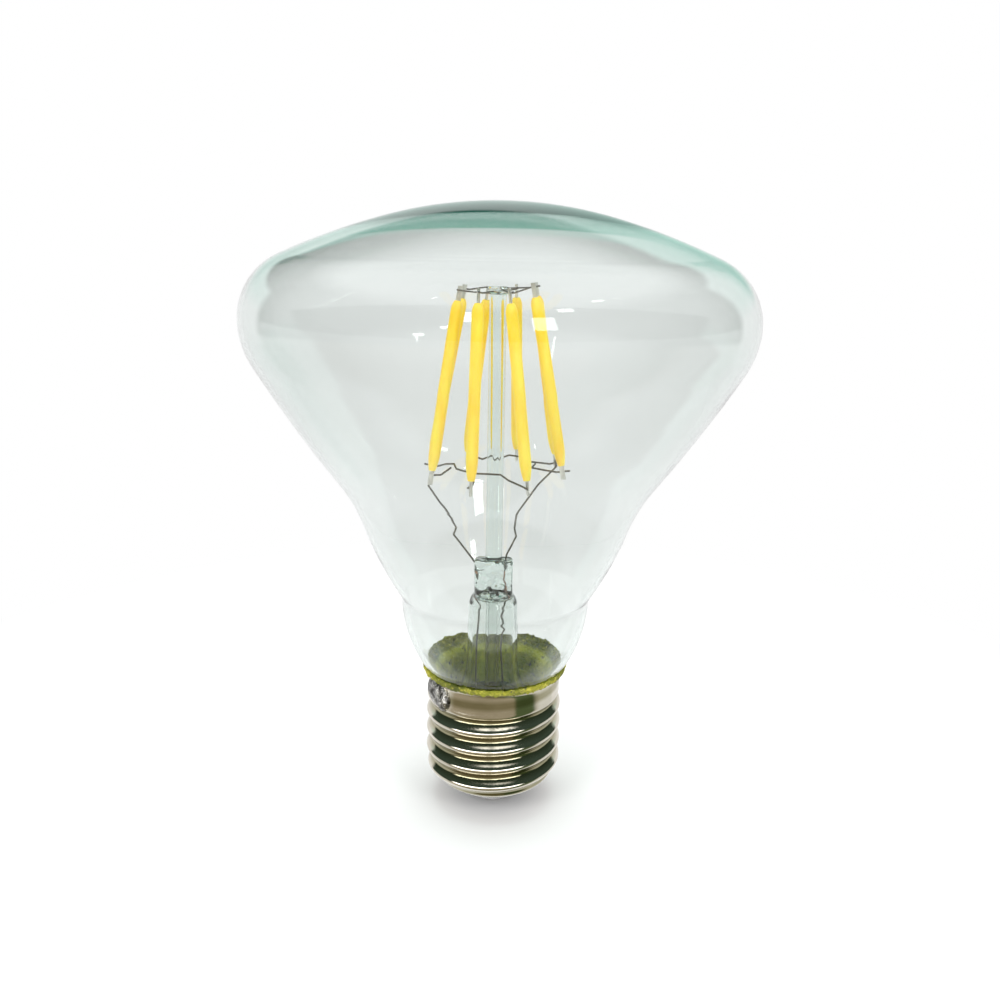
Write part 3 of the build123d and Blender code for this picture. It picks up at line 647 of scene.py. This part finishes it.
class BULB_OT_cap(bpy.types.Operator):
    """Finish the screw shell, its insulator, contact, solder and cement"""
    bl_idname = "bulb.cap"
    bl_label = "Cap"

    def execute(self, context):
        finish_cad(["screw_shell"], nickel_material())
        finish_cad(["cap_insulator"], black_glass_material())
        # The contact's dark colour is painted shade
        contact = plain_metal("contact_painted_shade_finish", *CONTACT_METAL_PAINTED_SHADE)
        finish_cad(["centre_contact"], contact)
        finish_cad(["contact_solder", "side_solder"], solder_material())
        cement = cement_material()
        finish_cad(["basing_cement"], cement)
        bead = spun("cement_bead", CEMENT_BEAD, BEAD_STEPS)
        crumble(bead)
        stand_for(bead, [], cement)
        return {"FINISHED"}


class BULB_OT_driver(bpy.types.Operator):
    """Finish the driver inside the cap"""
    bl_idname = "bulb.driver"
    bl_label = "Driver"

    def execute(self, context):
        finish_cad(["driver_board"], board_material())
        low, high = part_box("bulk_capacitor")
        sleeve = ((0.02, 0.03, 0.07), (0.55, 0.56, 0.58))
        band = [(0.9, 0.97)]
        finish_cad(["bulk_capacitor"], banded_material("sleeve_finish", low.z, high.z, *sleeve, band))
        low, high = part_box("fuse_resistor")
        bands = [(0.15, 0.24), (0.32, 0.41), (0.5, 0.58)]
        lacquer = ((0.20, 0.36, 0.42), (0.30, 0.05, 0.03))
        finish_cad(["fuse_resistor"], banded_material("resistor_finish", low.z, high.z, *lacquer, bands))
        finish_cad(["bridge_rectifier", "driver_chip"], resin_material())
        return {"FINISHED"}


# Stage, in degrees round the bulb from straight behind it, + to the right, and above the horizon
WHITE = (1.0, 1.0, 1.0)
BACKDROP_THROUGH_GLASS = (0.20, 0.47, 0.38)
BACKDROP_EDGE = 5.0
BACKDROP_BLUR = 0.15
ROOM_COLOUR = (0.045, 0.07, 0.05)
FILL_LEVEL = 0.80
EDGE_BLUR = 1.5

# Ceiling, which starts lower down where glass reflects it
CEILING_COLOUR = (0.80, 0.82, 0.81)
CEILING_RISE = (60.0, 74.0)
CEILING_DROP = 24.0

# Curtain behind the bulb, with an arched top
CURTAIN_COLOUR = (0.02, 0.26, 0.18)
CURTAIN_MIDDLE = 2.0
CURTAIN_TOP = 40.0
CURTAIN_FALL = 0.038
CURTAIN_HALF_ANGLE = 90.0

# Table: its own colour, and that close by, at the front right and behind the bulb
TABLE_COLOUR = (0.42, 0.37, 0.27)
TABLE_EDGE = (-8.0, -11.0)
TABLE_NEAR_COLOUR = (0.26, 0.23, 0.13)
TABLE_NEAR_RISE = (-60.0, -38.0)
TABLE_RIGHT_COLOUR = (0.10, 0.14, 0.06)
TABLE_RIGHT_FRONTS = (38.0, 78.0)
TABLE_RIGHT_BLUR = 3.0
TABLE_BACK_COLOUR = (0.86, 0.87, 0.84)
TABLE_BACK_TURNS = (108.0, 92.0)

# Bright strips for metal alone: spans round from straight in front, and rows as low, high and level
STRIP_FRONTS = ((-66.0, -10.0), (-4.0, 44.0))
STRIP_BLUR = 6.0
STRIP_ROWS = ((-11.0, 8.0, 5.0), (46.0, 66.0, 2.2))
STRIP_ROW_BLUR = 2.0

# White sheet behind the bulb, higher at its right end, and shaded there
SHEET_TOPS = (18.0, 31.0)
SHEET_SLOPE = (-25.0, 12.0)
SHEET_HALF_ANGLE = 58.0
SHEET_SIDE_BLUR = 3.0
SHEET_TOP_COLOUR = (0.74, 0.90, 0.85)
SHEET_TOP_RISE = (3.0, 12.0)
SHEET_SHADE_COLOUR = (0.50, 0.76, 0.68)
SHEET_SHADE_TURNS = (6.0, 36.0)
SHEET_SHADE_BLUR = 5.0

# Small bright panels for light inside the glass: turn, climb, half width and half height
PANEL_LEVEL = 14.0
PANEL_SIDE_BLUR = 0.4
PANEL_EDGE_BLUR = 0.15
PANELS = (
    (124.0, 50.0, 3.5, 1.2),
    (-140.0, 55.0, 0.5, 1.6),
    (161.0, 23.0, 5.0, 9.0),
    (148.0, 41.0, 4.0, 2.4),
)

# Lamps: name, place, width and power, all aimed at one point in the bulb
LAMP_TARGET = (0, 0, 0.06)
SOFTBOXES = (
    ("key_left", (-0.55, -0.65, 0.55), 0.35, 2.6),
    ("key_right", (0.55, -0.65, 0.55), 0.35, 2.2),
    ("top_light", (0.0, 0.1, 0.9), 0.6, 4.0),
)

# Floor paper, lit over a share of the shadow's reach before it starts to turn plain white
PAPER_GRAIN = 30
PAPER_DARKER = 0.99
PAPER_LIT_SHARE = 0.4


def softbox(name, spot, width, power):
    """A square lamp that shades what is matt and isn't seen in gloss or through glass."""
    bpy.ops.object.light_add(type="AREA", location=spot)
    lamp = bpy.context.object
    lamp.name = name
    lamp.data.shape = "RECTANGLE"
    lamp.data.size = width
    lamp.data.size_y = width
    lamp.data.energy = power
    aim = Vector(LAMP_TARGET) - Vector(spot)
    lamp.rotation_euler = aim.to_track_quat("-Z", "Y").to_euler()
    lamp.visible_glossy = False
    lamp.visible_transmission = False


def seen_through(tree):
    """1 where the world is seen straight on or through glass alone and else 0, with its Light Path node."""
    path = node(tree, "ShaderNodeLightPath")
    bounces = calc(tree, "ADD", path.outputs["Glossy Depth"], path.outputs["Diffuse Depth"])
    return calc(tree, "LESS_THAN", bounces, 0.5), path


def within(tree, value, low, high, soft):
    """1 between two values, with soft ends."""
    rise = spread(tree, value, low - soft, low + soft)
    fall = spread(tree, value, high - soft, high + soft, 1.0, 0.0)
    return calc(tree, "MULTIPLY", rise, fall)


def below(tree, climb, edge):
    """1 below an edge and 0 above it, with a soft border."""
    return spread(tree, calc(tree, "SUBTRACT", edge, climb), -EDGE_BLUR, EDGE_BLUR)


def look_angles(tree):
    """Angle round from straight behind, angle round from straight in front, and angle above the horizon."""
    coordinates = node(tree, "ShaderNodeTexCoord")
    parts = node(tree, "ShaderNodeSeparateXYZ", {0: coordinates.outputs["Generated"]})
    across, along, up = (parts.outputs[axis] for axis in "XYZ")
    turn = calc(tree, "DEGREES", calc(tree, "ARCTAN2", across, along))
    front = calc(tree, "DEGREES", calc(tree, "ARCTAN2", across, calc(tree, "MULTIPLY", along, -1.0)))
    return turn, front, calc(tree, "DEGREES", calc(tree, "ARCSINE", up))


def room_colour(tree, side, turn, climb, inside, sharp):
    """Dark room under a pale ceiling, with the curtain."""
    ceiling = mix_colour(tree, inside, CEILING_COLOUR, WHITE)
    lift = calc(tree, "MULTIPLY_ADD", sharp, CEILING_DROP, climb)
    room = mix_colour(tree, spread(tree, lift, *CEILING_RISE), ROOM_COLOUR, ceiling)
    away = calc(tree, "SUBTRACT", turn, CURTAIN_MIDDLE)
    arch = calc(tree, "MULTIPLY_ADD", calc(tree, "MULTIPLY", away, away), -CURTAIN_FALL, CURTAIN_TOP)
    behind = calc(tree, "LESS_THAN", side, CURTAIN_HALF_ANGLE)
    curtain = calc(tree, "MULTIPLY", below(tree, climb, arch), behind)
    return mix_colour(tree, curtain, room, CURTAIN_COLOUR)


def table_colour(tree, side, front, climb):
    """Table, darker close by and at the front right, and pale behind the bulb."""
    table = mix_colour(tree, spread(tree, climb, *TABLE_NEAR_RISE), TABLE_NEAR_COLOUR, TABLE_COLOUR)
    corner = within(tree, front, *TABLE_RIGHT_FRONTS, TABLE_RIGHT_BLUR)
    table = mix_colour(tree, corner, table, TABLE_RIGHT_COLOUR)
    return mix_colour(tree, spread(tree, side, *TABLE_BACK_TURNS), table, TABLE_BACK_COLOUR)


def add_strips(tree, colour, front, climb, sharp):
    """The colour with the bright strips over it, in rough reflections alone."""
    left, right = (within(tree, front, *span, STRIP_BLUR) for span in STRIP_FRONTS)
    strips = calc(tree, "MULTIPLY", calc(tree, "ADD", left, right), calc(tree, "SUBTRACT", 1.0, sharp))
    for low, high, level in STRIP_ROWS:
        row = calc(tree, "MULTIPLY", strips, within(tree, climb, low, high, STRIP_ROW_BLUR))
        colour = mix_colour(tree, row, colour, (level,) * 3)
    return colour


def add_sheet(tree, colour, side, turn, climb):
    """The colour with the white sheet over it."""
    sheet_top = spread(tree, turn, *SHEET_SLOPE, *SHEET_TOPS)
    edges = (SHEET_HALF_ANGLE + SHEET_SIDE_BLUR, SHEET_HALF_ANGLE - SHEET_SIDE_BLUR)
    shown = calc(tree, "MULTIPLY", spread(tree, side, *edges), below(tree, climb, sheet_top))
    rise = spread(tree, climb, *SHEET_TOP_RISE)
    shade = calc(tree, "MULTIPLY", within(tree, turn, *SHEET_SHADE_TURNS, SHEET_SHADE_BLUR), rise)
    sheet = mix_colour(tree, shade, mix_colour(tree, rise, WHITE, SHEET_TOP_COLOUR), SHEET_SHADE_COLOUR)
    return mix_colour(tree, shown, colour, sheet)


def add_panels(tree, colour, turn, climb, inside):
    """The colour with the small panels over it, for light inside the glass."""
    for centre, level, half_width, half_height in PANELS:
        wide = within(tree, turn, centre - half_width, centre + half_width, PANEL_SIDE_BLUR)
        tall = within(tree, climb, level - half_height, level + half_height, PANEL_EDGE_BLUR)
        shown = calc(tree, "MULTIPLY", calc(tree, "MULTIPLY", wide, tall), inside)
        colour = mix_colour(tree, shown, colour, (PANEL_LEVEL,) * 3)
    return colour


def studio_colour(tree, turn, front, climb, inside, sharp):
    """What metal and glass reflect: the room, its table, the strips, the sheet and the panels."""
    side = calc(tree, "ABSOLUTE", turn)
    room = room_colour(tree, side, turn, climb, inside, sharp)
    table = table_colour(tree, side, front, climb)
    colour = mix_colour(tree, spread(tree, climb, *TABLE_EDGE), room, table)
    colour = add_strips(tree, colour, front, climb, sharp)
    colour = add_sheet(tree, colour, side, turn, climb)
    return add_panels(tree, colour, turn, climb, inside)


def world_light():
    """White background, with the studio in reflections and an even fill for the rest."""
    world = bpy.data.worlds.new("studio")
    bpy.context.scene.world = world
    world.use_nodes = True
    tree = world.node_tree
    turn, front, climb = look_angles(tree)
    straight, path = seen_through(tree)
    diffuse = calc(tree, "GREATER_THAN", path.outputs["Diffuse Depth"], 0.5)
    passed = calc(tree, "GREATER_THAN", path.outputs["Transmission Depth"], 0.5)
    studio = studio_colour(tree, turn, front, climb, passed, path.outputs["Is Singular Ray"])
    lit = mix_colour(tree, diffuse, studio, (FILL_LEVEL,) * 3)
    edge = spread(tree, climb, BACKDROP_EDGE - BACKDROP_BLUR, BACKDROP_EDGE + BACKDROP_BLUR)
    backdrop = mix_colour(tree, calc(tree, "MULTIPLY", edge, passed), WHITE, BACKDROP_THROUGH_GLASS)
    colour = mix_colour(tree, straight, lit, backdrop)
    background = tree.nodes["Background"]
    tree.links.new(colour, background.inputs["Color"])
    background.inputs["Strength"].default_value = 1.0


def add_floor(settings):
    """Paper floor, lit near the bulb, where its shadow falls, and plain white further out."""
    bpy.ops.mesh.primitive_plane_add(size=2 * settings.floor_reach, location=(0, 0, 0))
    floor = bpy.context.object
    floor.name = "stage_floor"
    material, tree, shader = blank_material("stage_paper", {"Roughness": 0.9, "Specular IOR Level": 0.0})
    grain = noise(tree, place(tree), scale=PAPER_GRAIN, detail=2.0)
    colour = tuple(settings.floor_colour)
    darker = tuple(channel * PAPER_DARKER for channel in colour)
    set_colour(tree, shader, ramp(tree, grain, [(0.3, darker), (0.7, colour)]))
    away = length(tree, object_place(tree))
    far = spread(tree, away, settings.shadow_reach * PAPER_LIT_SHARE, settings.shadow_reach)
    path = node(tree, "ShaderNodeLightPath")
    lit = calc(tree, "LESS_THAN", path.outputs["Diffuse Depth"], 0.5)
    white = node(tree, "ShaderNodeEmission", {"Color": (1, 1, 1, 1), "Strength": 1.0})
    mixed = node(tree, "ShaderNodeMixShader", {
        0: calc(tree, "MULTIPLY", far, lit), 1: shader.outputs["BSDF"], 2: white.outputs["Emission"],
    })
    tree.links.new(mixed.outputs["Shader"], tree.nodes["Material Output"].inputs["Surface"])
    floor.data.materials.append(material)
    floor.visible_glossy = False


def add_camera():
    """Camera that took the photograph, set as the scene's."""
    bpy.ops.object.camera_add(location=(0, -EYE_DISTANCE, EYE_HEIGHT))
    camera = bpy.context.object
    camera.name = "photo_camera"
    camera.data.sensor_width = SENSOR_WIDTH
    camera.data.lens = SENSOR_WIDTH * FOCAL_PIXELS / PICTURE_PIXELS
    camera.data.shift_x = (PICTURE_PIXELS / 2 - AXIS_PIXEL[0]) / PICTURE_PIXELS
    camera.data.shift_y = (AXIS_PIXEL[1] - PICTURE_PIXELS / 2) / PICTURE_PIXELS
    camera.data.clip_start = 0.01
    camera.rotation_mode = "XYZ"
    camera.rotation_euler = (math.radians(90 - EYE_PITCH_DOWN), 0, 0)
    camera.rotation_euler.rotate_axis("Z", math.radians(EYE_ROLL))
    bpy.context.scene.camera = camera


class BULB_OT_stage(bpy.types.Operator):
    """Lay the floor and set the lights and the camera"""
    bl_idname = "bulb.stage"
    bl_label = "Stage"

    def execute(self, context):
        world_light()
        add_floor(context.scene.bulb_stage)
        for lamp in SOFTBOXES:
            softbox(*lamp)
        add_camera()
        context.scene.view_settings.view_transform = "Standard"
        return {"FINISHED"}


OPERATORS = (
    BULB_OT_envelope,
    BULB_OT_stem,
    BULB_OT_filaments,
    BULB_OT_wires,
    BULB_OT_cap,
    BULB_OT_driver,
    BULB_OT_stage,
)


class BULB_PT_panel(bpy.types.Panel):
    """Settings of the glass and the stage, and a button for each step"""
    bl_label = "Filament bulb"
    bl_idname = "BULB_PT_panel"
    bl_space_type = "VIEW_3D"
    bl_region_type = "UI"
    bl_category = "Bulb"

    def draw(self, context):
        layout = self.layout
        for settings in (context.scene.bulb_glass, context.scene.bulb_stage):
            for name in settings.__annotations__:
                layout.prop(settings, name)
        for operator in OPERATORS:
            layout.operator(operator.bl_idname)


CLASSES = (BulbGlassSettings, BulbStageSettings, *OPERATORS, BULB_PT_panel)


def register():
    for item in CLASSES:
        bpy.utils.register_class(item)
    bpy.types.Scene.bulb_glass = PointerProperty(type=BulbGlassSettings)
    bpy.types.Scene.bulb_stage = PointerProperty(type=BulbStageSettings)


def unregister():
    del bpy.types.Scene.bulb_glass
    del bpy.types.Scene.bulb_stage
    for item in reversed(CLASSES):
        bpy.utils.unregister_class(item)


def main():
    register()
    bpy.ops.object.select_all(action="DESELECT")
    for operator in OPERATORS:
        group, name = operator.bl_idname.split(".")
        getattr(getattr(bpy.ops, group), name)()


if __name__ == "__main__":
    main()
